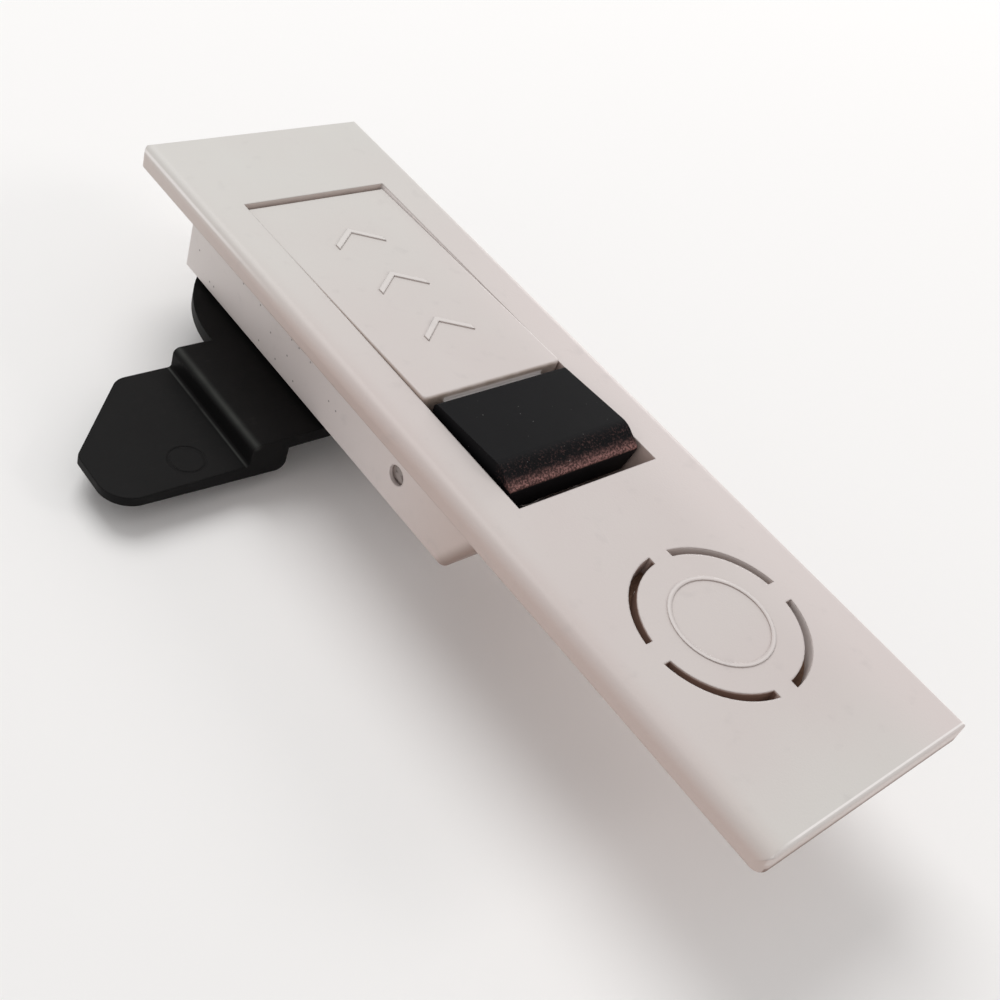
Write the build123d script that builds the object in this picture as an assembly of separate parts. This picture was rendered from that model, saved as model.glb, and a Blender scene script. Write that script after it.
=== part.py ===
from build123d import *
import math
import os

# Touch latch for a cabinet door: a moulded face plate with a box body behind it, a press button,
# a pop-up lever and a stepped cam that the lever turns behind the door frame.
# Origin: axis of the key-cylinder knock-out, on the plane that seats on the door.
# +Z points out of the door, +Y towards the lever's hinge. Millimetres and degrees.

# Face plate
plate_length = 110.0
plate_width = 32.0
plate_thickness = 2.5
plate_corner_radius = 1.2
plate_side_round = 1.5
plate_end_round = 0.5
plate_near_reach = 21.6

# Window for the button and the lever
window_width = 20.3
window_length = 53.7
window_near_y = 20.7

# Box body
body_depth = 10.7
side_wall = 2.15
far_wall = 6.9
near_wall = 1.2
near_wall_lean = 30.0
floor_thickness = 1.8
body_corner_radius = 0.7
body_base_chamfer = 0.3
far_core_wall = 2.0
far_core_depth = 6.5

# Knock-out for a key cylinder
knockout_radius = 9.8
knockout_slot = 0.9
knockout_bridge = 2.6
mark_radius = 5.8
mark_width = 0.5
mark_height = 0.12

# Pilot holes for the screws of a rear clamp
pilot_radius = 1.1
pilot_spacing = 13.0
pilot_inset = 9.1
pilot_boss_wall = 1.2
pilot_boss_height = 1.5

# Fits
running_fit = 0.05
press_seat = 0.02
side_gap = 0.1
end_gap = 0.35
stack_gap = 0.05
spring_gap = 0.1

# Lever and its drive to the spindle
lever_lift = 40.0
hinge_z = 0.7
catch_run = 1.6
catch_gap = 0.25
lever_near_rise = 0.4
lever_far_recess = 0.45
lever_depth = 4.0
lever_far_thickness = 2.0
lever_taper_length = 6.0
lever_skin = 2.0
lever_wall = 1.8
lever_near_corner = 0.8
lever_edge_round = 0.3
lip_width = 14.4
lip_drop = 1.05
lip_thickness = 1.5
trunnion_radius = 1.0
socket_depth = 1.4
tail_length = 6.3
tail_ball_radius = 1.4
tail_neck_radius = 0.9
pocket_end_margin = 4.0
chevron_count = 3
chevron_pitch = 9.0
chevron_first_run = 8.2
chevron_half_span = 3.4
chevron_rise = 2.6
chevron_stroke = 0.9
chevron_height = 0.15
chevron_root = 0.2

# Press button
pin_inset = 15.3
pin_z = -6.2
pin_radius = 1.2
pin_recess = 0.4
button_width = 19.1
button_far_run = 0.5
button_far_height = 0.75
button_near_height = 1.55
bevel_start_run = 10.55
bevel_end_run = 13.2
foot_run = 12.35
foot_z = -1.5
foot_thickness = 1.7
button_skin = 1.9
cheek_width = 2.0
cheek_waist_run = 2.8
cheek_waist_z = -4.6
barrel_radius = 2.0
bevel_brow_round = 2.5
button_lip_round = 0.5
button_side_chamfer = 0.24

# Springs
wire_radius = 0.3
wire_sides = 6
button_coil_radius = 2.2
button_spring_run = 7.4
button_spring_turns = 3
lever_coil_radius = 2.2
lever_spring_run = 8.4
lever_spring_turns = 3
stud_gap = 0.25
stud_height = 1.2

# Spindle
spindle_inset = 6.6
head_radius = 5.0
head_cover = 0.7
slot_clearance = 0.35
journal_radius = 3.6
groove_depth = 0.5
drive_flats = 5.0
drive_short = 0.1
screw_radius = 1.5
screw_depth = 5.0
tapped_extra = 1.0

# Cam and the pieces that hold it
cam_standoff = 0.4
ring_recess_depth = 1.0
ring_recess_gap = 0.3
spindle_boss_wall = 0.8
spindle_boss_height = 0.5
thrust_washer_thickness = 0.5
thrust_washer_radius = 6.5
ring_thickness = 0.6
ring_radius = 5.0
ring_mouth = 4.4
hub_radius = 16.2
cam_plate = 1.6
hub_boss_radius = 9.0
hub_boss_height = 3.4
step_reach = 21.3
cam_step = 2.8
tongue_tip_thickness = 1.1
tongue_root_thickness = 2.1
tongue_reach = 37.9
riser_run = 5.0
arm_far_offset = 0.35
arm_near_offset = 18.4
tip_chamfer_x = 9.6
tip_chamfer_y = 9.9
tip_round = 3.6
shoulder_round = 2.5
chamfer_end_round = 0.9
step_edge_round = 0.8
step_foot_round = 0.4
heel_round = 1.2
ejector_mark_radius = 2.2
ejector_mark_width = 0.3
ejector_mark_depth = 0.04
ejector_mark_reach = 27.3
ejector_mark_offset = 15.0
cam_washer_radius = 4.5
cam_washer_thickness = 0.7
washer_hole_radius = 1.65
lock_washer_radius = 2.8
lock_washer_thickness = 0.8
lock_washer_split = 0.5
screw_head_radius = 3.0
screw_head_height = 2.2
screw_head_chamfer = 0.6
recess_length = 3.4
recess_width = 0.8
recess_depth = 1.1

# Places worked out from the sizes above
margin = 1.0
plate_centre_y = plate_length / 2 - plate_near_reach
window_far_y = window_near_y + window_length
body_width = window_width + 2 * side_wall
body_far_y = window_far_y + far_wall
floor_z = floor_thickness - body_depth
pilot_y = window_near_y + pilot_inset
pin_y = window_near_y + pin_inset
button_far_y = pin_y + button_far_run
spindle_y = window_far_y - spindle_inset
spindle_at = (0.0, spindle_y)
lean = math.tan(math.radians(near_wall_lean))
lift = math.radians(lever_lift)
ball_offset = tail_length * math.sin(lift) / 2
hinge_y = spindle_y + ball_offset
lever_near_y = pin_y + catch_run
lever_width = window_width - 2 * side_gap
lever_far_y = window_far_y - end_gap
lever_far_z = plate_thickness - lever_far_recess
lever_near_z = plate_thickness + lever_near_rise
lever_base_z = lever_near_z - lever_depth
lever_roof_z = lever_far_z - lever_skin
button_spring_y = pin_y - button_spring_run
lever_spring_y = lever_near_y + lever_spring_run
cam_top_z = -body_depth - cam_standoff
hub_base_z = cam_top_z - hub_boss_height
tongue_top_z = cam_top_z - cam_step
ring_recess_z = ring_recess_depth - body_depth
ring_recess_radius = thrust_washer_radius + ring_recess_gap
spindle_boss_z = floor_z + spindle_boss_height
head_base_z = spindle_boss_z + stack_gap
head_top_z = hinge_z - tail_length * math.cos(lift) + head_cover
washer_base_z = ring_recess_z - thrust_washer_thickness
ring_top_z = washer_base_z - stack_gap
ring_base_z = ring_top_z - ring_thickness
screw_seat_z = hub_base_z - cam_washer_thickness - lock_washer_thickness


def span_box(x, y, z):
    """Box between low and high x, y and z."""
    sizes = [high - low for low, high in (x, y, z)]
    centre = [(high + low) / 2 for low, high in (x, y, z)]
    return Pos(*centre) * Box(*sizes)


def drum(radius, z, at=(0.0, 0.0)):
    """Upright cylinder between two heights."""
    return Pos(at[0], at[1], (z[0] + z[1]) / 2) * Cylinder(radius, z[1] - z[0])


def cross_rod(radius, x, y, z):
    """Cylinder that lies along X between two x values."""
    return Pos((x[0] + x[1]) / 2, y, z) * Rot(0, 90, 0) * Cylinder(radius, x[1] - x[0])


def rounded_outline(points, rounds=()):
    """Closed outline through the points, with the listed corners rounded."""
    outline = Polygon(*points, align=None)
    for corner, radius in rounds:
        nearest = outline.vertices().sort_by_distance((*corner, 0))[0]
        outline = fillet(nearest, radius)
    return outline


def side_prism(points, width, rounds=()):
    """Outline of (y, z) points drawn out across X."""
    return extrude(Plane.YZ * rounded_outline(points, rounds), width / 2, both=True)


def coil_spring(coil_radius, turns, z, y):
    """Compression spring that stands between two heights."""
    height = z[1] - z[0] - 2 * wire_radius
    path = Helix(pitch=height / turns, height=height, radius=coil_radius)
    section = Plane(origin=path @ 0, z_dir=path % 0) * RegularPolygon(wire_radius, wire_sides)
    return Pos(0, y, z[0] + wire_radius) * sweep(section, path=path, is_frenet=True)


def face_plate():
    """Plate with broad rolled long edges and crisper ends."""
    low = (Align.CENTER, Align.MIN)
    across = Rectangle(plate_width, plate_thickness, align=low)
    across = fillet(across.vertices().group_by(Axis.Y)[-1], plate_side_round)
    along = Rectangle(plate_length, plate_thickness, align=low)
    along = fillet(along.vertices().group_by(Axis.Y)[-1], plate_end_round)
    plan = extrude(RectangleRounded(plate_width, plate_length, plate_corner_radius), plate_thickness)
    plan &= extrude(Plane.XZ * across, plate_length / 2, both=True)
    plan &= extrude(Plane.YZ * along, plate_width / 2, both=True)
    return Pos(0, plate_centre_y, 0) * plan


def box_body():
    """Box behind the plate, with a leaning near wall and rounded corners."""
    near_top = window_near_y - near_wall
    outline = [
        (body_far_y, 0),
        (body_far_y, -body_depth),
        (near_top + lean * body_depth, -body_depth),
        (near_top, 0),
    ]
    body = side_prism(outline, body_width)
    corners = [edge for edge in body.edges() if edge.bounding_box().size.Z > body_depth / 2]
    body = fillet(corners, body_corner_radius)
    return chamfer(body.faces().sort_by(Axis.Z)[0].edges(), body_base_chamfer)


def knockout_slots():
    """Four arc slots that leave four bridges round the knock-out disc."""
    through = (-margin, plate_thickness + margin)
    slots = drum(knockout_radius, through) - drum(knockout_radius - knockout_slot, through)
    reach = (-knockout_radius - margin, knockout_radius + margin)
    half = (-knockout_bridge / 2, knockout_bridge / 2)
    return slots - span_box(reach, half, through) - span_box(half, reach, through)


def housing():
    """Face plate and box body, moulded as one piece."""
    shell = face_plate() + box_body()
    top = plate_thickness + margin
    well = [
        (window_far_y, top),
        (window_far_y, floor_z),
        (window_near_y - lean * floor_z, floor_z),
        (window_near_y, 0),
        (window_near_y, top),
    ]
    shell -= side_prism(well, window_width)
    core_y = (window_far_y + far_core_wall, body_far_y - far_core_wall)
    core_x = window_width / 2 - far_core_wall
    shell -= span_box((-core_x, core_x), core_y, (-body_depth - margin, far_core_depth - body_depth))
    shell -= knockout_slots()
    mark = (plate_thickness - mark_height, plate_thickness + mark_height)
    shell += drum(mark_radius, mark) - drum(mark_radius - mark_width, mark)
    for x in (-pilot_spacing / 2, pilot_spacing / 2):
        boss_top = floor_z + pilot_boss_height
        shell += drum(pilot_radius + pilot_boss_wall, (floor_z, boss_top), (x, pilot_y))
        shell -= drum(pilot_radius, (-body_depth - margin, boss_top + margin), (x, pilot_y))
    seats = ((button_coil_radius, button_spring_y), (lever_coil_radius, lever_spring_y))
    for coil_radius, y in seats:
        stud_radius = coil_radius - wire_radius - stud_gap
        shell += drum(stud_radius, (floor_z, floor_z + stud_height), (0, y))
    socket_x = window_width / 2 + socket_depth
    shell -= cross_rod(trunnion_radius + running_fit, (-socket_x, socket_x), hinge_y, hinge_z)
    pin_x = body_width / 2 + margin
    shell -= cross_rod(pin_radius + press_seat, (-pin_x, pin_x), pin_y, pin_z)
    boss_radius = ring_recess_radius + spindle_boss_wall
    shell += drum(boss_radius, (floor_z, spindle_boss_z), spindle_at)
    shell -= drum(ring_recess_radius, (-body_depth - margin, ring_recess_z), spindle_at)
    shell -= drum(journal_radius + running_fit, (-body_depth, floor_z + margin), spindle_at)
    return shell


def chevron(y):
    """Plain raised chevron on the lever's sloping top."""
    slope = (lever_far_z - lever_near_z) / (lever_far_y - lever_near_y)
    top = lever_near_z + slope * (y - lever_near_y)
    face = Plane(origin=(0, y, top), x_dir=(1, 0, 0), z_dir=(0, -slope, 1))
    outline = [
        (-chevron_half_span, 0),
        (0, chevron_rise),
        (chevron_half_span, 0),
        (chevron_half_span, chevron_stroke),
        (0, chevron_rise + chevron_stroke),
        (-chevron_half_span, chevron_stroke),
    ]
    stroke = extrude(Polygon(*outline, align=None), chevron_height + chevron_root)
    return face * Pos(0, 0, -chevron_root) * stroke


def lever():
    """Hollow pop-up lever with trunnions, a catch lip and a ball-ended tail that turns the spindle."""
    outline = [
        (lever_far_y, lever_far_z),
        (lever_near_y, lever_near_z),
        (lever_near_y, lever_base_z),
        (lever_far_y - lever_taper_length, lever_base_z),
        (lever_far_y, lever_far_z - lever_far_thickness),
    ]
    shell = side_prism(outline, lever_width)
    near_corners = shell.edges().filter_by(Axis.Z).group_by(Axis.Y)[0]
    shell = fillet(near_corners, lever_near_corner)
    top_face = shell.faces().sort_by(Axis.Z)[-1]
    shell = fillet(top_face.edges(), lever_edge_round)
    pocket_y = (lever_near_y + lever_wall, hinge_y - pocket_end_margin)
    pocket_x = lever_width / 2 - lever_wall
    shell -= span_box((-pocket_x, pocket_x), pocket_y, (lever_base_z - margin, lever_roof_z))
    lip_top = lever_near_z - lip_drop
    lip_y = (button_far_y + catch_gap, lever_near_y + lever_wall / 2)
    shell += span_box((-lip_width / 2, lip_width / 2), lip_y, (lip_top - lip_thickness, lip_top))
    trunnion_x = window_width / 2 + socket_depth - side_gap
    for side in (-1, 1):
        ends = sorted((side * pocket_x, side * trunnion_x))
        shell += cross_rod(trunnion_radius, ends, hinge_y, hinge_z)
    ball_z = hinge_z - tail_length
    shell += drum(tail_neck_radius, (ball_z, hinge_z), (-ball_offset, hinge_y))
    shell += Pos(-ball_offset, hinge_y, ball_z) * Sphere(tail_ball_radius)
    for index in range(chevron_count):
        shell += chevron(lever_near_y + chevron_first_run + index * chevron_pitch)
    return shell


def release_button():
    """Rocking button on a cross pin: flat top, grained bevel, two cheeks with pin barrels."""
    far_z = plate_thickness + button_far_height
    near_z = plate_thickness + button_near_height
    top_end = (button_far_y, far_z)
    brow = (pin_y - bevel_start_run, near_z)
    bevel_end = (pin_y - bevel_end_run, plate_thickness)
    outline = [
        top_end,
        brow,
        bevel_end,
        (pin_y - foot_run, foot_z),
        (pin_y - foot_run + foot_thickness, foot_z),
        (pin_y - cheek_waist_run, cheek_waist_z),
        (pin_y, pin_z),
    ]
    rounds = [(top_end, button_lip_round), (brow, bevel_brow_round), (bevel_end, button_lip_round)]
    shell = side_prism(outline, button_width, rounds)
    for side in (shell.faces().sort_by(Axis.X)[0], shell.faces().sort_by(Axis.X)[-1]):
        rim = [edge for edge in side.edges() if edge.center().Z > plate_thickness]
        shell = chamfer(rim, button_side_chamfer)
    hollow = [
        (button_far_y - button_skin, far_z - button_skin),
        (pin_y - bevel_start_run + button_skin / 2, near_z - button_skin),
        (pin_y - foot_run + foot_thickness, plate_thickness - button_skin),
        (pin_y - foot_run + foot_thickness, pin_z - barrel_radius - margin),
        (button_far_y - button_skin, pin_z - barrel_radius - margin),
    ]
    shell -= side_prism(hollow, button_width - 2 * cheek_width)
    for side in (-1, 1):
        ends = sorted((side * (button_width / 2 - cheek_width), side * button_width / 2))
        shell += cross_rod(barrel_radius, ends, pin_y, pin_z)
    bore_x = button_width / 2 + margin
    return shell - cross_rod(pin_radius + running_fit, (-bore_x, bore_x), pin_y, pin_z)


def button_pin():
    """Plain steel cross pin, its ends a little below the body's side walls."""
    end_x = body_width / 2 - pin_recess
    return cross_rod(pin_radius, (-end_x, end_x), pin_y, pin_z)


def button_spring():
    """Spring that lifts the near end of the button."""
    run = button_far_y - button_spring_y - button_coil_radius
    rise = (button_near_height - button_far_height) / (button_far_run + bevel_start_run)
    roof = plate_thickness + button_far_height + rise * run - button_skin
    z = (floor_z, roof - spring_gap)
    return coil_spring(button_coil_radius, button_spring_turns, z, button_spring_y)


def lever_spring():
    """Spring that kicks the lever out of the plate once the button lets go."""
    z = (floor_z, lever_roof_z - spring_gap)
    return coil_spring(lever_coil_radius, lever_spring_turns, z, lever_spring_y)


def spindle():
    """Turned spindle: slotted head inside the body, journal in the floor, square drive for the cam."""
    drive_end_z = hub_base_z + drive_short
    solid = drum(head_radius, (head_base_z, head_top_z))
    solid += drum(journal_radius, (cam_top_z + stack_gap, head_base_z))
    half = drive_flats / 2
    solid += span_box((-half, half), (-half, half), (drive_end_z, cam_top_z + stack_gap))
    groove = drum(journal_radius + margin, (ring_base_z, ring_top_z))
    solid -= groove - drum(journal_radius - groove_depth, (ring_base_z, ring_top_z))
    slot_half = tail_ball_radius + slot_clearance
    slot_low = hinge_z - tail_length - slot_half
    slot_x = (ball_offset - slot_half, head_radius + margin)
    slot = span_box(slot_x, (-slot_half, slot_half), (slot_low, head_top_z + margin))
    solid -= Rot(0, 0, math.degrees(math.atan2(ball_offset, -ball_offset))) * slot
    tapped_top = screw_seat_z + lock_washer_thickness + cam_washer_thickness + screw_depth + tapped_extra
    solid -= drum(screw_radius + press_seat, (drive_end_z - margin, tapped_top))
    return Pos(*spindle_at) * solid


def thrust_washer():
    """Plain washer between the body's floor and the retaining ring."""
    z = (washer_base_z, ring_recess_z)
    return drum(thrust_washer_radius, z, spindle_at) - drum(journal_radius + running_fit, z, spindle_at)


def retaining_ring():
    """Open ring snapped into the spindle's groove."""
    z = (ring_base_z, ring_top_z)
    ring = drum(ring_radius, z) - drum(journal_radius - groove_depth + press_seat, z)
    ring -= span_box((0, ring_radius + margin), (-ring_mouth / 2, ring_mouth / 2), z)
    return Pos(*spindle_at) * ring


def cam_arm():
    """Riser and tapered tongue: a stepped side view cut to the tongue's plan."""
    inner_x = riser_run - step_reach
    shoulder = (tip_chamfer_x - tongue_reach, -arm_far_offset)
    chamfer_end = (-tongue_reach, -arm_far_offset - tip_chamfer_y)
    tip = (-tongue_reach, -arm_near_offset)
    plan = [(inner_x, -arm_near_offset), (inner_x, -arm_far_offset), shoulder, chamfer_end, tip]
    rounds = [(shoulder, shoulder_round), (chamfer_end, chamfer_end_round), (tip, tip_round)]
    arm_depth = cam_step + tongue_root_thickness
    blank = Pos(0, 0, cam_top_z) * extrude(rounded_outline(plan, rounds), -arm_depth)
    step_edge = (-step_reach, cam_top_z)
    step_foot = (-step_reach, tongue_top_z)
    heel = (inner_x, tongue_top_z - tongue_root_thickness)
    side = [
        (inner_x, cam_top_z),
        step_edge,
        step_foot,
        (-tongue_reach, tongue_top_z),
        (-tongue_reach, tongue_top_z - tongue_tip_thickness),
        heel,
    ]
    rounds = [(step_edge, step_edge_round), (step_foot, step_foot_round), (heel, heel_round)]
    return blank & extrude(Plane.XZ * rounded_outline(side, rounds), arm_near_offset)


def cam():
    """Stepped cam: a flat hub with a drive boss, a shoulder beside it and a lower, tapered tongue."""
    tangent = math.acos(hub_radius / arm_near_offset) - math.pi / 2
    shoulder_x = riser_run / 2 - step_reach
    shoulder = [
        (shoulder_x, -arm_near_offset),
        (0, -arm_near_offset),
        (hub_radius * math.cos(tangent), hub_radius * math.sin(tangent)),
        (0, -arm_far_offset),
        (shoulder_x, -arm_far_offset),
    ]
    plan = Circle(hub_radius) + Polygon(*shoulder, align=None)
    solid = Pos(0, 0, cam_top_z - cam_plate) * extrude(plan, cam_plate)
    solid += cam_arm()
    solid += drum(hub_boss_radius, (hub_base_z, cam_top_z))
    mark_at = (-ejector_mark_reach, -ejector_mark_offset)
    mark_z = (tongue_top_z - ejector_mark_depth, tongue_top_z)
    mark = drum(ejector_mark_radius, mark_z, mark_at)
    solid -= mark - drum(ejector_mark_radius - ejector_mark_width, mark_z, mark_at)
    half = drive_flats / 2 + running_fit
    solid -= span_box((-half, half), (-half, half), (hub_base_z - margin, cam_top_z + margin))
    return Pos(*spindle_at) * solid


def cam_washer():
    """Plain washer that covers the cam's square hole."""
    z = (hub_base_z - cam_washer_thickness, hub_base_z)
    return drum(cam_washer_radius, z, spindle_at) - drum(washer_hole_radius, z, spindle_at)


def cam_lock_washer():
    """Split spring washer under the screw head."""
    z = (screw_seat_z, screw_seat_z + lock_washer_thickness)
    ring = drum(lock_washer_radius, z) - drum(washer_hole_radius, z)
    ring -= span_box((0, lock_washer_radius + margin), (-lock_washer_split / 2, lock_washer_split / 2), z)
    return Pos(*spindle_at) * ring


def cam_screw():
    """Cheese-head screw that clamps the cam to the spindle."""
    head_z = screw_seat_z - screw_head_height
    head = drum(screw_head_radius, (head_z, screw_seat_z))
    head = chamfer(head.faces().sort_by(Axis.Z)[0].edges(), screw_head_chamfer)
    half_long = recess_length / 2
    half_wide = recess_width / 2
    recess_z = (head_z - margin, head_z + recess_depth)
    head -= span_box((-half_long, half_long), (-half_wide, half_wide), recess_z)
    head -= span_box((-half_wide, half_wide), (-half_long, half_long), recess_z)
    shank_top = screw_seat_z + lock_washer_thickness + cam_washer_thickness + screw_depth
    return Pos(*spindle_at) * (head + drum(screw_radius, (screw_seat_z, shank_top)))


os.makedirs("parts", exist_ok=True)
for piece in (
    housing,
    lever,
    release_button,
    button_pin,
    button_spring,
    lever_spring,
    spindle,
    thrust_washer,
    retaining_ring,
    cam,
    cam_washer,
    cam_lock_washer,
    cam_screw,
):
    export_step(piece(), f"parts/{piece.__name__}.step")
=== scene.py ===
import math

import bmesh
import bpy
from mathutils import Matrix, Vector


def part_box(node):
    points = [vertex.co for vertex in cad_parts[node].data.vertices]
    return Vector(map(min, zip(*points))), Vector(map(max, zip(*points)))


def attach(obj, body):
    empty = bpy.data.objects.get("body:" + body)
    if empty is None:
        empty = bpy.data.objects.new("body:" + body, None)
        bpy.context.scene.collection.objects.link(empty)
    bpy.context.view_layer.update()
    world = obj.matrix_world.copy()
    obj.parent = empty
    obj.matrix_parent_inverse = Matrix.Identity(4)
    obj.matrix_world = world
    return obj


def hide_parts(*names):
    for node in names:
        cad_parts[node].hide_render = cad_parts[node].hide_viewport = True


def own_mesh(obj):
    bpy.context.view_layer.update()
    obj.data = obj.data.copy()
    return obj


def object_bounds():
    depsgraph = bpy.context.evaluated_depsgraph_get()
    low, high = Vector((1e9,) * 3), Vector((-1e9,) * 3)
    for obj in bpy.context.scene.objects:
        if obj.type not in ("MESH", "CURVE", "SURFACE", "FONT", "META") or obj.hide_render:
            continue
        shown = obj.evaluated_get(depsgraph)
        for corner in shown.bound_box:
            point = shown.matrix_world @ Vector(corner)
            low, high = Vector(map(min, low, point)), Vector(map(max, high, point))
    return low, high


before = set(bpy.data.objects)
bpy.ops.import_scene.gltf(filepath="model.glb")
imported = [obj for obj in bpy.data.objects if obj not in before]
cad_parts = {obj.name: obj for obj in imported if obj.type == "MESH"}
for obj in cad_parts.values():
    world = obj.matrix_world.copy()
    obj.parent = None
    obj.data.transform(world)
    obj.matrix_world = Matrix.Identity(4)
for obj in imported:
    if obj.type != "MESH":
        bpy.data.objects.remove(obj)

cad_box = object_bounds()

# Housing: the face plate and the box body behind it, injection moulded in one piece of
# off-white plastic with a fine satin grain. It is slightly clouded, with a few dark specks on the
# side walls, and its colour carries painted light and shade: a warm glow by the button, shade in
# the corners and gaps and on the sides, and highlights along the edges.
mm = 0.001


class Wire:
    """A shader socket. Arithmetic on it adds Math nodes, and node() adds any other kind."""

    def __init__(self, socket):
        self.socket = socket

    def node(self, kind, settings, inputs, output=0):
        made = self.socket.id_data.nodes.new(kind)
        for name, value in settings.items():
            setattr(made, name, value)
        for name, value in inputs.items():
            if isinstance(value, Wire):
                made.id_data.links.new(value.socket, made.inputs[name])
            else:
                made.inputs[name].default_value = value
        return Wire(made.outputs[output])

    def math(self, operation, *values):
        return self.node("ShaderNodeMath", {"operation": operation}, dict(enumerate(values)))

    def __add__(self, other):
        return self.math("ADD", self, other)

    def __mul__(self, other):
        return self.math("MULTIPLY", self, other)

    def __sub__(self, other):
        return self.math("SUBTRACT", self, other)

    def __rsub__(self, other):
        return self.math("SUBTRACT", other, self)

    __radd__ = __add__
    __rmul__ = __mul__

    def ease(self, low, high):
        """0 below low, 1 above high and a smooth rise between."""
        inputs = {"Value": self, "From Min": low, "From Max": high}
        return self.node("ShaderNodeMapRange", {"interpolation_type": "SMOOTHSTEP"}, inputs)

    def between(self, start, full, fade, end):
        """0 outside start and end, 1 from full to fade, with a smooth step at each side."""
        return self.ease(start, full) * (1 - self.ease(fade, end))

    def blend(self, first, second):
        """Colour that goes from first to second as this mask goes from 0 to 1."""
        factor, colour_a, colour_b, colour_out = 0, 6, 7, 2
        inputs = {factor: self, colour_a: first, colour_b: second}
        return self.node("ShaderNodeMix", {"data_type": "RGBA"}, inputs, colour_out)

    def noise(self, grain, detail=2.0, roughness=0.5):
        """Noise at this place, with lumps of about the given size."""
        inputs = {"Vector": self, "Scale": 1 / grain, "Detail": detail, "Roughness": roughness}
        return self.node("ShaderNodeTexNoise", {}, inputs)

    def axis(self, index):
        """One coordinate of this place: 0 for x, 1 for y, 2 for z."""
        return self.node("ShaderNodeSeparateXYZ", {}, {0: self}, index)

    def stretched(self, x, y, z):
        """This place with its axes scaled."""
        return self.node("ShaderNodeMapping", {}, {"Vector": self, "Scale": (x, y, z)})


def start_finish(name):
    """New material: its shader and the object coordinates that its patterns read."""
    material = bpy.data.materials.new(name)
    material.use_nodes = True
    shader = material.node_tree.nodes["Principled BSDF"]
    place = material.node_tree.nodes.new("ShaderNodeTexCoord").outputs["Object"]
    return material, shader, Wire(place)


def feed(shader, **wires):
    """Links wires to the shader's sockets, named with underscores for spaces."""
    for name, wire in wires.items():
        shader.id_data.links.new(wire.socket, shader.inputs[name.replace("_", " ")])


def soft_edge(place, height, depth, radius):
    """Normal with rounded edges and the given relief on top."""
    rounded = place.node("ShaderNodeBevel", {"samples": 4}, {"Radius": radius})
    return place.node("ShaderNodeBump", {}, {"Height": height, "Distance": depth, "Normal": rounded})


def dress(node, material):
    """Gives a CAD node its finish."""
    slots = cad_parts[node].data.materials
    slots.clear()
    slots.append(material)


housing_low, housing_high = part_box("housing")
plate_middle_y = (housing_low.y + housing_high.y) / 2
plate_top = 2.5 * mm
# Extents of the painted warm light by the button, of the paler right side, of the painted light on the
# body's walls and of the painted shade along the left rim.
warm_glow_start_y = housing_low.y - 6 * mm
warm_glow_full_y = housing_low.y + 14 * mm
paler_start_x = 4 * mm
paler_full_x = 14 * mm
wall_shaded_y = 18 * mm
wall_lit_y = 45 * mm
rim_shade_width = 3.5 * mm
cloud_size = 14 * mm
# Colours of the plastic. The warm white is painted warm light, the pink is painted shade on the sides,
# the wall white is painted light on the body's walls and the tan is painted shade along the left rim.
cool_white = (0.655, 0.648, 0.622, 1)
warm_white = (0.628, 0.572, 0.558, 1)
paler_white = (0.690, 0.628, 0.615, 1)
shaded_side_pink = (0.600, 0.480, 0.435, 1)
lit_wall_white = (0.790, 0.720, 0.700, 1)
rim_shade_tan = (0.50, 0.40, 0.37, 1)


def moulded_white(place):
    """Colour of the plastic, with painted light and shade: a painted warm glow by the button, paler to
    the right, painted light and shade on the sides and painted shade along the left rim.
    """
    x = place.axis(0)
    y = place.axis(1)
    near = 1 - y.ease(plate_middle_y, housing_high.y)
    # Painted warm light: pinker towards the button end, with a little random clouding.
    warm_glow = near * y.ease(warm_glow_start_y, warm_glow_full_y)
    warm_glow_and_cloud = warm_glow * 0.8 + place.noise(cloud_size, 4.0).ease(0.3, 0.7) * 0.2
    # Paler towards the right of the near half.
    paler_right = x.ease(paler_start_x, paler_full_x) * near
    top = paler_right.blend(warm_glow_and_cloud.blend(cool_white, warm_white), paler_white)
    # Painted light and shade: faces turned from upright take a shaded pink, and the walls under the
    # plate take a lit white towards the far end.
    under_plate = 1 - place.axis(2).ease(-0.8 * mm, 0.2 * mm)
    lit_wall = under_plate * y.ease(wall_shaded_y, wall_lit_y)
    side = lit_wall.blend(shaded_side_pink, lit_wall_white)
    upright = place.node("ShaderNodeTexCoord", {}, {}, "Normal").axis(2)
    side_light_and_shade = (1 - upright.ease(0.1, 0.95)) * (0.55 + near * 0.3)
    # Painted shade along the plate's left rim, towards the button end.
    rim_shade = (1 - x.ease(housing_low.x, housing_low.x + rim_shade_width)) * near * 0.35
    return rim_shade.blend(side_light_and_shade.blend(top, side), rim_shade_tan)


# Noise size and brown of the painted shade and grime in corners and gaps.
shade_grime_size = 1.6 * mm
shade_grime_brown = (0.25, 0.18, 0.14, 1)


def corner_shade_and_grime(place, reach):
    """Mask of painted shade and grime in corners and gaps narrower than about the given reach, broken
    up by noise.
    """
    settings = {"samples": 4, "inside": False}
    open_air = place.node("ShaderNodeAmbientOcclusion", settings, {"Distance": reach}, "AO")
    return (1 - open_air).ease(0.45, 0.95) * place.noise(shade_grime_size, 3.0).ease(0.3, 0.7)


speck_spacing = 2.2 * mm
speck_top_z = -3 * mm
speck_near_y = 44 * mm
speck_black = (0.14, 0.11, 0.10, 1)


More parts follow.
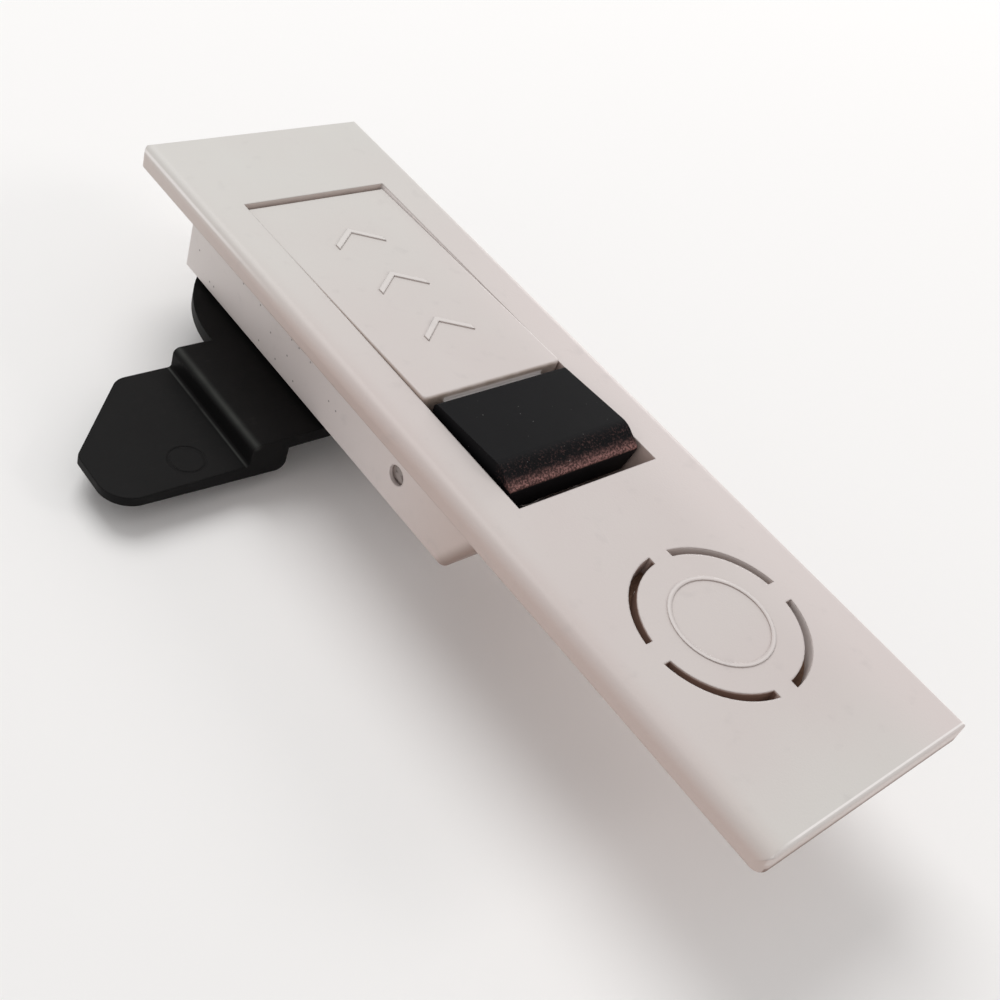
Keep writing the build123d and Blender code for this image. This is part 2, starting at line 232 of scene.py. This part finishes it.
def wall_specks(place):
    """Mask of small specks on the body's side walls, beside the lever."""
    sideways = (0, math.pi / 2, 0)
    wall = place.node("ShaderNodeMapping", {}, {"Vector": place, "Rotation": sideways})
    flat = {"voronoi_dimensions": "2D"}
    cell = {"Vector": wall, "Scale": 1 / speck_spacing}
    distance = wall.node("ShaderNodeTexVoronoi", flat, cell, "Distance")
    pick = wall.node("ShaderNodeTexVoronoi", flat, cell, "Color").axis(0)
    speck = (1 - distance.ease(0.03, 0.08)) * pick.ease(0.70, 0.71)
    low = 1 - place.axis(2).ease(speck_top_z - 0.4 * mm, speck_top_z)
    return speck * low * place.axis(1).ease(speck_near_y, speck_near_y + 2 * mm)


smudge_size = 2.5 * mm
smear_size = 4 * mm
grain_size = 0.22 * mm
grain_depth = 0.012 * mm
moulded_radius = 0.3 * mm
smudge_grey = (0.38, 0.36, 0.36, 1)
# White for painted highlights and painted light.
highlight_white = (0.925, 0.895, 0.885, 1)


def white_moulding(name, shade_grime_reach, soil_and_shade_colour, soil_and_shade, painted_highlight):
    """Off-white plastic with painted shade and grime in corners, specks and smudges, and masks for soil
    and painted shade and for painted highlights.
    """
    material, shader, place = start_finish(name)
    shade_and_grime = corner_shade_and_grime(place, shade_grime_reach)
    smudge = place.noise(smudge_size, 5.0).ease(0.58, 0.78)
    # Painted shade: corners and gaps darkened brown, along with grime.
    colour = (shade_and_grime * 0.4).blend(moulded_white(place), shade_grime_brown)
    colour = (wall_specks(place) * 0.75).blend(colour, speck_black)
    colour = (smudge * 0.14).blend(colour, smudge_grey)
    # Soil and painted shade, from the mask passed in.
    colour = soil_and_shade(place).blend(colour, soil_and_shade_colour)
    # Painted highlights, from the mask passed in.
    colour = painted_highlight(place).blend(colour, highlight_white)
    smear = place.stretched(1.0, 0.25, 1.0).noise(smear_size, 4.0)
    grain = place.noise(grain_size, 2.0)
    feed(shader, Base_Color=colour, Roughness=0.32 + smear * 0.14 + shade_and_grime * 0.2)
    feed(shader, Normal=soft_edge(place, grain, grain_depth, moulded_radius))
    shader.inputs["Specular IOR Level"].default_value = 0.32
    return material


knockout_inner = 8.9 * mm
knockout_outer = 9.8 * mm
body_near_y = 19.5 * mm
body_near_lean = math.tan(math.radians(30))
# Brown for painted shade in the slots and at the body's near end, and for a painted reflection along
# the plate's lower near edge.
reflected_shade_brown = (0.170, 0.090, 0.060, 1)


def from_centre(place):
    """Distance from the knock-out's axis."""
    flat = place.stretched(1, 1, 0)
    return flat.node("ShaderNodeVectorMath", {"operation": "LENGTH"}, {0: flat}, "Value")


def housing_shade_and_reflection(place):
    """Mask of painted shade on the knock-out's slot walls and the body's near end, and of a painted
    brown reflection along the plate's lower near edge.
    """
    y = place.axis(1)
    z = place.axis(2)
    radius = from_centre(place)
    past_inner = radius - knockout_inner
    past_outer = radius - knockout_outer
    slots = past_inner.ease(-0.12 * mm, -0.08 * mm) * (1 - past_outer.ease(0.08 * mm, 0.12 * mm))
    slot_middle = radius.ease(knockout_inner + 0.3 * mm, knockout_outer - 0.3 * mm) * 0.8
    sunk = 1 - (z - plate_top).ease(-0.3 * mm, -0.05 * mm)
    # Painted shade: the body's near end.
    from_end = y + z * body_near_lean - body_near_y
    end = (1 - from_end.ease(0.2 * mm, 2 * mm)) * (1 - z.ease(-0.4 * mm, -0.1 * mm))
    # Painted reflection: a brown line along the plate's lower near edge.
    from_near = y - housing_low.y
    lower = (1 - from_near.ease(0.1 * mm, 0.2 * mm)) * (1 - z.ease(0.45 * mm, 0.7 * mm))
    return slots * sunk * (0.85 - slot_middle) + end * 0.65 + lower * 0.8


window_half = 10.15 * mm
# Where the painted light on the window's right wall begins.
window_lit_y = 38 * mm
ring_radius = 5.8 * mm
wall_film = 0.03 * mm
wall_blur = 0.1 * mm


def housing_highlights(place):
    """Mask of painted highlights on the plate's edges and the raised ring, and of painted light on the
    walls of the openings.
    """
    x = place.axis(0)
    y = place.axis(1)
    height = place.axis(2) - plate_top
    radius = from_centre(place)
    from_near = y - housing_low.y
    from_left = x - housing_low.x
    line = from_near.between(0.25 * mm, 0.35 * mm, 0.42 * mm, 0.55 * mm)
    line = line * from_left.ease(1.2 * mm, 5 * mm)
    strip = 1 - from_near.ease(0.2 * mm, 0.4 * mm)
    right = (housing_high.x - x).between(0.25 * mm, 0.45 * mm, 0.75 * mm, 0.95 * mm)
    left = from_left.between(0.15 * mm, 0.28 * mm, 0.32 * mm, 0.5 * mm)
    left = left * (1 - (housing_high.y - y).ease(10 * mm, 34 * mm))
    edges = (strip * 0.3 + right * 0.8 + left * 0.8) * height.ease(-1.6 * mm, -1.2 * mm)
    ring = (radius - ring_radius).between(-0.35 * mm, -0.25 * mm, 0.25 * mm, 0.35 * mm)
    raised = height.ease(0.01 * mm, 0.04 * mm)
    window = (x - window_half).between(-wall_blur, -wall_film, wall_film, wall_blur)
    window = window * y.ease(window_lit_y, window_lit_y + 4 * mm)
    slot = (radius - knockout_outer).between(-wall_blur, -wall_film, wall_film, wall_blur)
    slot = slot * x.ease(-3 * mm, 5 * mm)
    sunk = 1 - height.ease(-0.1 * mm, -0.02 * mm)
    return line * 0.9 + edges + ring * raised * 0.2 + (window * 0.8 + slot * 0.7) * sunk


dress("housing", white_moulding("housing_white", 1.1 * mm, reflected_shade_brown, housing_shade_and_reflection, housing_highlights))

# Painted shade: a soft, matt brown sheet across the bottom of the knock-out's four slots, which
# stands in for the shade seen through them. It sits just inside the slot walls.
sheet_low = 0.1 * mm
sheet_high = 0.5 * mm
sheet_start = math.radians(9)
sheet_span = math.radians(72)
sheet_steps = 12
sheet_wall_gap = 0.02 * mm
sheet_inner = knockout_inner + sheet_wall_gap
sheet_outer = knockout_outer - sheet_wall_gap
slot_count = 4
sheet_mesh = bmesh.new()
for slot_index in range(slot_count):
    section = [
        sheet_mesh.verts.new((sheet_inner, 0, sheet_low)),
        sheet_mesh.verts.new((sheet_outer, 0, sheet_low)),
        sheet_mesh.verts.new((sheet_outer, 0, sheet_high)),
        sheet_mesh.verts.new((sheet_inner, 0, sheet_high)),
    ]
    cap = sheet_mesh.faces.new(section)
    turn = Matrix.Rotation(sheet_start + slot_index * math.tau / slot_count, 3, "Z")
    bmesh.ops.rotate(sheet_mesh, verts=section, cent=(0, 0, 0), matrix=turn)
    bmesh.ops.spin(
        sheet_mesh,
        geom=[cap, *cap.edges, *section],
        cent=(0, 0, 0),
        axis=(0, 0, 1),
        angle=sheet_span,
        steps=sheet_steps,
    )
bmesh.ops.recalc_face_normals(sheet_mesh, faces=sheet_mesh.faces)
slot_shade_sheet = bpy.data.objects.new("slot_shade_sheet", bpy.data.meshes.new("slot_shade_sheet"))
sheet_mesh.to_mesh(slot_shade_sheet.data)
sheet_mesh.free()
bpy.context.scene.collection.objects.link(slot_shade_sheet)
# Browns of the painted shade sheet.
shade_dark_brown = (0.10, 0.052, 0.033, 1)
shade_light_brown = (0.28, 0.165, 0.11, 1)
sheet_finish, sheet_shader, sheet_place = start_finish("slot_shade_brown")
sheet_mottle = sheet_place.noise(0.3 * mm, 4.0)
feed(sheet_shader, Base_Color=sheet_mottle.blend(shade_dark_brown, shade_light_brown), Roughness=0.8 + sheet_mottle * 0.15)
feed(sheet_shader, Normal=soft_edge(sheet_place, sheet_mottle, 0.1 * mm, 0.1 * mm))
slot_shade_sheet.data.materials.append(sheet_finish)
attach(slot_shade_sheet, "housing")

# Cross pin and spring steel: the pin is cut from drawn rod and pressed into the side walls. The
# lever's spring is coiled from bright wire, and the snap ring and lock washer are stamped.


def bright_steel(name, tint, dull, along, blotch):
    """Steel with fine streaks, stretched by the factors in along, and tarnish in blotches."""
    material, shader, place = start_finish(name)
    streak = place.stretched(*along).noise(0.5 * mm, 4.0)
    tarnish = place.noise(blotch, 3.0).ease(0.45, 0.75)
    feed(shader, Base_Color=tarnish.blend(tint, dull), Roughness=0.24 + streak * 0.2 + tarnish * 0.12)
    feed(shader, Normal=soft_edge(place, streak, 0.006 * mm, 0.1 * mm))
    shader.inputs["Metallic"].default_value = 1.0
    return material


pin_steel = bright_steel(
    "pin_steel",
    tint=(0.42, 0.37, 0.35, 1),
    dull=(0.07, 0.05, 0.045, 1),
    along=(0.1, 1, 1),
    blotch=0.7 * mm,
)
spring_steel = bright_steel(
    "spring_steel",
    tint=(0.56, 0.56, 0.55, 1),
    dull=(0.36, 0.34, 0.32, 1),
    along=(1, 1, 0.3),
    blotch=2.5 * mm,
)
dress("button_pin", pin_steel)
for springy in ("lever_spring", "retaining_ring", "cam_lock_washer"):
    dress(springy, spring_steel)

# Button spring: three turns of bright drawn wire that stand on a stud in the body's floor and
# push the button up.
spring_low, spring_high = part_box("button_spring")
wire_radius = 0.3 * mm
wire_sides = 10
spring_turns = 3
spring_steps = 72
coil_reach = (spring_high.x - spring_low.x) / 2 - wire_radius
coil_rise = spring_high.z - spring_low.z - 2 * wire_radius
spring_foot = Vector((0, (spring_low.y + spring_high.y) / 2, spring_low.z))
spring_mesh = bmesh.new()
bmesh.ops.create_circle(spring_mesh, cap_ends=True, segments=wire_sides, radius=wire_radius)
upended = Matrix.Rotation(math.pi / 2, 3, "X")
bmesh.ops.rotate(spring_mesh, verts=spring_mesh.verts, cent=(0, 0, 0), matrix=upended)
wire_start = spring_foot + Vector((coil_reach, 0, wire_radius))
bmesh.ops.translate(spring_mesh, verts=spring_mesh.verts, vec=wire_start)
bmesh.ops.spin(
    spring_mesh,
    geom=[*spring_mesh.verts, *spring_mesh.edges, *spring_mesh.faces],
    cent=spring_foot,
    axis=(0, 0, 1),
    dvec=(0, 0, coil_rise / spring_steps),
    angle=spring_turns * math.tau,
    steps=spring_steps,
)
bmesh.ops.recalc_face_normals(spring_mesh, faces=spring_mesh.faces)
for side in spring_mesh.faces:
    side.smooth = len(side.verts) < wire_sides
pressing_spring = bpy.data.objects.new("pressing_spring", bpy.data.meshes.new("pressing_spring"))
spring_mesh.to_mesh(pressing_spring.data)
spring_mesh.free()
bpy.context.scene.collection.objects.link(pressing_spring)
pressing_spring.data.materials.append(spring_steel)
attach(pressing_spring, "housing")
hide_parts("button_spring")
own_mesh(pressing_spring)

# Release button: black plastic with a smooth flat top. The bevel at its near end is finely
# grained and carries painted brown glints, a painted reflection that is strongest along its low
# edge, and the far top edge carries a painted blue-grey highlight.
button_low, button_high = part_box("release_button")
bevel_run = 2.9 * mm
grit_size = 0.26 * mm
grit_depth = 0.08 * mm
deep_black = (0.005, 0.0052, 0.0062, 1)
smeared_black = (0.008, 0.008, 0.009, 1)
# Brown for painted glints on the bevel and blue-grey for a painted highlight on the far edge.
glint_brown = (0.36, 0.185, 0.17, 1)
highlight_blue_grey = (0.22, 0.23, 0.29, 1)
dust_grey = (0.5, 0.48, 0.47, 1)


def button_black():
    """Black plastic, with painted brown glints on the grained bevel and a painted grey highlight along
    the far edge.
    """
    material, shader, place = start_finish("button_black")
    from_near = place.axis(1) - button_low.y
    above = (place.axis(2) - plate_top).ease(-0.2 * mm, 0.05 * mm)
    bevel = (1 - (from_near - bevel_run).ease(-0.8 * mm, 0.4 * mm)) * above
    # Painted reflection: brown glints on the bevel, strongest along its low edge.
    painted_highlight = (1 - from_near.ease(0, 1.4 * mm)) * above
    grit = place.noise(grit_size, 3.0, 0.7)
    painted_glints = painted_highlight * (0.2 + grit.ease(0.42, 0.6) * 0.6) + bevel * grit.ease(0.52, 0.66) * 0.13
    # Painted highlight: a blue-grey line along the far top edge.
    far_edge_highlight = (1 - (button_high.y - place.axis(1)).ease(0.15 * mm, 0.4 * mm)) * above
    smear = place.noise(5 * mm, 3.0)
    dust = place.noise(0.3 * mm, 1.0).ease(0.79, 0.82)
    colour = painted_glints.blend(smear.blend(deep_black, smeared_black), glint_brown)
    colour = (far_edge_highlight * grit.ease(0.3, 0.5)).blend(colour, highlight_blue_grey)
    colour = (dust * 0.25).blend(colour, dust_grey)
    fine = place.noise(0.2 * mm, 2.0)
    feed(shader, Base_Color=colour, Roughness=0.42 + smear * 0.1 + bevel * 0.15)
    feed(shader, Normal=soft_edge(place, fine * 0.1 + bevel * grit, grit_depth, 0.2 * mm))
    shader.inputs["Specular IOR Level"].default_value = 0.06
    return material


dress("release_button", button_black())

# Lever: hollow moulding of the same off-white plastic, which snaps into the side walls on two
# trunnions. Its near end is soiled a dull tan and carries painted shade, and the edge along
# the narrow gap carries a line of painted shade.
lever_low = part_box("lever")[0]
lip_reach = 0.85 * mm
lever_end_y = lever_low.y + lip_reach
lever_half = 10.05 * mm
lever_near_top = 2.9 * mm
lever_fall = 0.0233
lip_half = 7.2 * mm
lip_top = 1.85 * mm
lip_blur = 0.1 * mm
# Tan for soil and painted shade on the lever's near end, and for painted shade along its left edge.
lever_tan = (0.36, 0.285, 0.235, 1)


def lever_soil_and_shade(place):
    """Mask of soil and painted shade on the lever's near end face, broken up by noise, and of painted
    shade on the edge along the narrow gap.
    """
    end = (place.axis(1) - lever_end_y).between(-0.15 * mm, -0.02 * mm, 0, 0.4 * mm)
    patches = place.noise(2 * mm, 4.0).ease(0.3, 0.65)
    # Painted shade along the lever's left edge, beside the narrow gap.
    side = 1 - (place.axis(0) + lever_half).ease(0, 0.22 * mm)
    return end * (0.35 + patches * 0.5) + side * 0.6


def lever_highlights(place):
    """Mask of painted highlights on the raised chevrons and the edge along the wide gap, and of painted
    light on the lip beside the button.
    """
    x = place.axis(0)
    z = place.axis(2)
    from_end = place.axis(1) - lever_end_y
    height = z + from_end * lever_fall - lever_near_top
    raised = height.ease(0.02 * mm, 0.06 * mm)
    right = (x - lever_half).ease(-0.3 * mm, -0.15 * mm) * height.ease(-0.4 * mm, -0.25 * mm)
    left_end = (x + lip_half).ease(-lip_blur, lip_blur)
    right_end = (x - lip_half).ease(-lip_blur, lip_blur)
    front = 1 - from_end.ease(0.03 * mm, 0.08 * mm)
    low = 1 - (z - lip_top).ease(0.3 * mm, 0.6 * mm)
    lip = left_end * (1 - right_end) * front * low
    return raised * 0.2 + right * 0.8 + lip * 0.8


dress("lever", white_moulding("lever_white", 0.7 * mm, lever_tan, lever_soil_and_shade, lever_highlights))

# Spindle and washers: turned and pressed steel with a bright zinc plate. The spindle drops
# through the body's floor and is held there by a thrust washer and a snap ring.
zinc_steel = bright_steel(
    "zinc_steel",
    tint=(0.60, 0.60, 0.59, 1),
    dull=(0.44, 0.43, 0.41, 1),
    along=(1, 1, 4),
    blotch=2.5 * mm,
)
for turned in ("spindle", "thrust_washer", "cam_washer", "cam_screw"):
    dress(turned, zinc_steel)

# Cam: black plastic moulding with a satin skin, clamped to the spindle's square by one screw.
# Its tongue steps down and is a little scuffed where it rides on the door frame.
cam_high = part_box("cam")[1]
step_x = -21.3 * mm
satin_black = (0.0055, 0.0055, 0.0058, 1)
soft_black = (0.009, 0.0087, 0.0087, 1)
scuff_grey = (0.05, 0.047, 0.045, 1)
# Grey for painted highlights on the step.
edge_light_grey = (0.05, 0.053, 0.05, 1)


def cam_black():
    """Black plastic with fine scuffs, and painted highlights along the top and the foot of its step."""
    material, shader, place = start_finish("cam_black")
    from_step = place.axis(0) - step_x
    depth = cam_high.z - place.axis(2)
    smear = place.noise(7 * mm, 4.0)
    scuff = place.stretched(0.35, 1.0, 1.0).noise(0.7 * mm, 5.0, 0.65).ease(0.60, 0.78)
    # Painted highlights along the top and the foot of the step.
    brow = from_step.between(0, 0.5 * mm, 0.5 * mm, 1.3 * mm) * (1 - depth.ease(0.3 * mm, 0.8 * mm))
    foot = from_step.between(-0.6 * mm, -0.4 * mm, -0.4 * mm, -0.15 * mm)
    foot = foot * depth.between(2.4 * mm, 2.7 * mm, 2.85 * mm, 2.95 * mm)
    painted_edge_light = (brow * 0.7 + foot) * smear.ease(0.2, 0.6)
    colour = (scuff * 0.15).blend(smear.blend(satin_black, soft_black), scuff_grey)
    colour = painted_edge_light.blend(colour, edge_light_grey)
    fine = place.noise(0.25 * mm, 2.0)
    feed(shader, Base_Color=colour, Roughness=0.4 + smear * 0.14 + scuff * 0.12)
    feed(shader, Normal=soft_edge(place, fine, 0.012 * mm, 0.25 * mm))
    shader.inputs["Specular IOR Level"].default_value = 0.06
    return material


dress("cam", cam_black())

# Studio: a plain pale floor just under the cam's screw, a large soft lamp high beyond the
# lever's hinge, three weak ones that light the lower edges, and an even pale surround.
floor_half = 1.5
floor_mesh = bmesh.new()
bmesh.ops.create_grid(floor_mesh, x_segments=1, y_segments=1, size=floor_half)
bmesh.ops.translate(floor_mesh, verts=floor_mesh.verts, vec=(0, 0, cad_box[0][2]))
floor = bpy.data.objects.new("floor", bpy.data.meshes.new("floor"))
floor_mesh.to_mesh(floor.data)
floor_mesh.free()
bpy.context.scene.collection.objects.link(floor)
floor_paper, floor_shader = start_finish("floor_paper")[:2]
floor_shader.inputs["Base Color"].default_value = (0.92, 0.92, 0.92, 1)
floor_shader.inputs["Roughness"].default_value = 0.9
floor.data.materials.append(floor_paper)

latch_middle = Vector((-4 * mm, 34 * mm, -4 * mm))


def soft_lamp(name, direction, distance, width, power, tint):
    """Round lamp in that direction from the latch, facing it."""
    lamp = bpy.data.lights.new(name, "AREA")
    lamp.shape = "DISK"
    lamp.size = width
    lamp.energy = power
    lamp.color = tint
    holder = bpy.data.objects.new(name, lamp)
    bpy.context.scene.collection.objects.link(holder)
    away = Vector(direction).normalized()
    holder.location = latch_middle + away * distance
    holder.rotation_euler = away.to_track_quat("Z", "Y").to_euler()


soft_lamp(
    "key_lamp",
    direction=(0.1, 0.62, 0.9),
    distance=1.0,
    width=0.7,
    power=5.0,
    tint=(1.0, 0.995, 0.985),
)
soft_lamp(
    "near_lamp",
    direction=(0.62, -0.55, 0.5),
    distance=0.8,
    width=0.22,
    power=0.8,
    tint=(1.0, 0.95, 0.93),
)
soft_lamp(
    "right_lamp",
    direction=(0.85, 0.43, 0.22),
    distance=0.8,
    width=0.25,
    power=0.7,
    tint=(1.0, 0.97, 0.95),
)
soft_lamp(
    "left_lamp",
    direction=(-0.9, -0.2, 0.25),
    distance=0.9,
    width=0.6,
    power=0.6,
    tint=(1.0, 0.9, 0.86),
)
surround = bpy.data.worlds.new("surround")
surround.use_nodes = True
surround.node_tree.nodes["Background"].inputs["Color"].default_value = (1.0, 0.985, 0.975, 1)
surround.node_tree.nodes["Background"].inputs["Strength"].default_value = 0.52
bpy.context.scene.world = surround
bpy.context.scene.view_settings.view_transform = "Standard"

# Camera: looks down along the plate from beside the button end, turned about its own axis so
# that the plate runs from the upper left to the lower right of a square picture.
camera_place = Vector((-93.78, -38.22, 92.41)) * mm
camera_aim = Vector((0.62175, 0.43210, -0.65324))
camera_roll = math.radians(23.2)
picture_pixels = 1000
focal_pixels = 1350.2
centre_shift_pixels = 30
lens = bpy.data.cameras.new("camera")
lens.sensor_width = 36.0
lens.lens = focal_pixels / picture_pixels * lens.sensor_width
lens.shift_x = -centre_shift_pixels / picture_pixels
lens.clip_start = 1 * mm
camera = bpy.data.objects.new("camera", lens)
camera_turn = camera_aim.to_track_quat("-Z", "Y").to_matrix() @ Matrix.Rotation(camera_roll, 3, "Z")
camera.matrix_world = Matrix.Translation(camera_place) @ camera_turn.to_4x4()
bpy.context.scene.collection.objects.link(camera)
bpy.context.scene.camera = camera
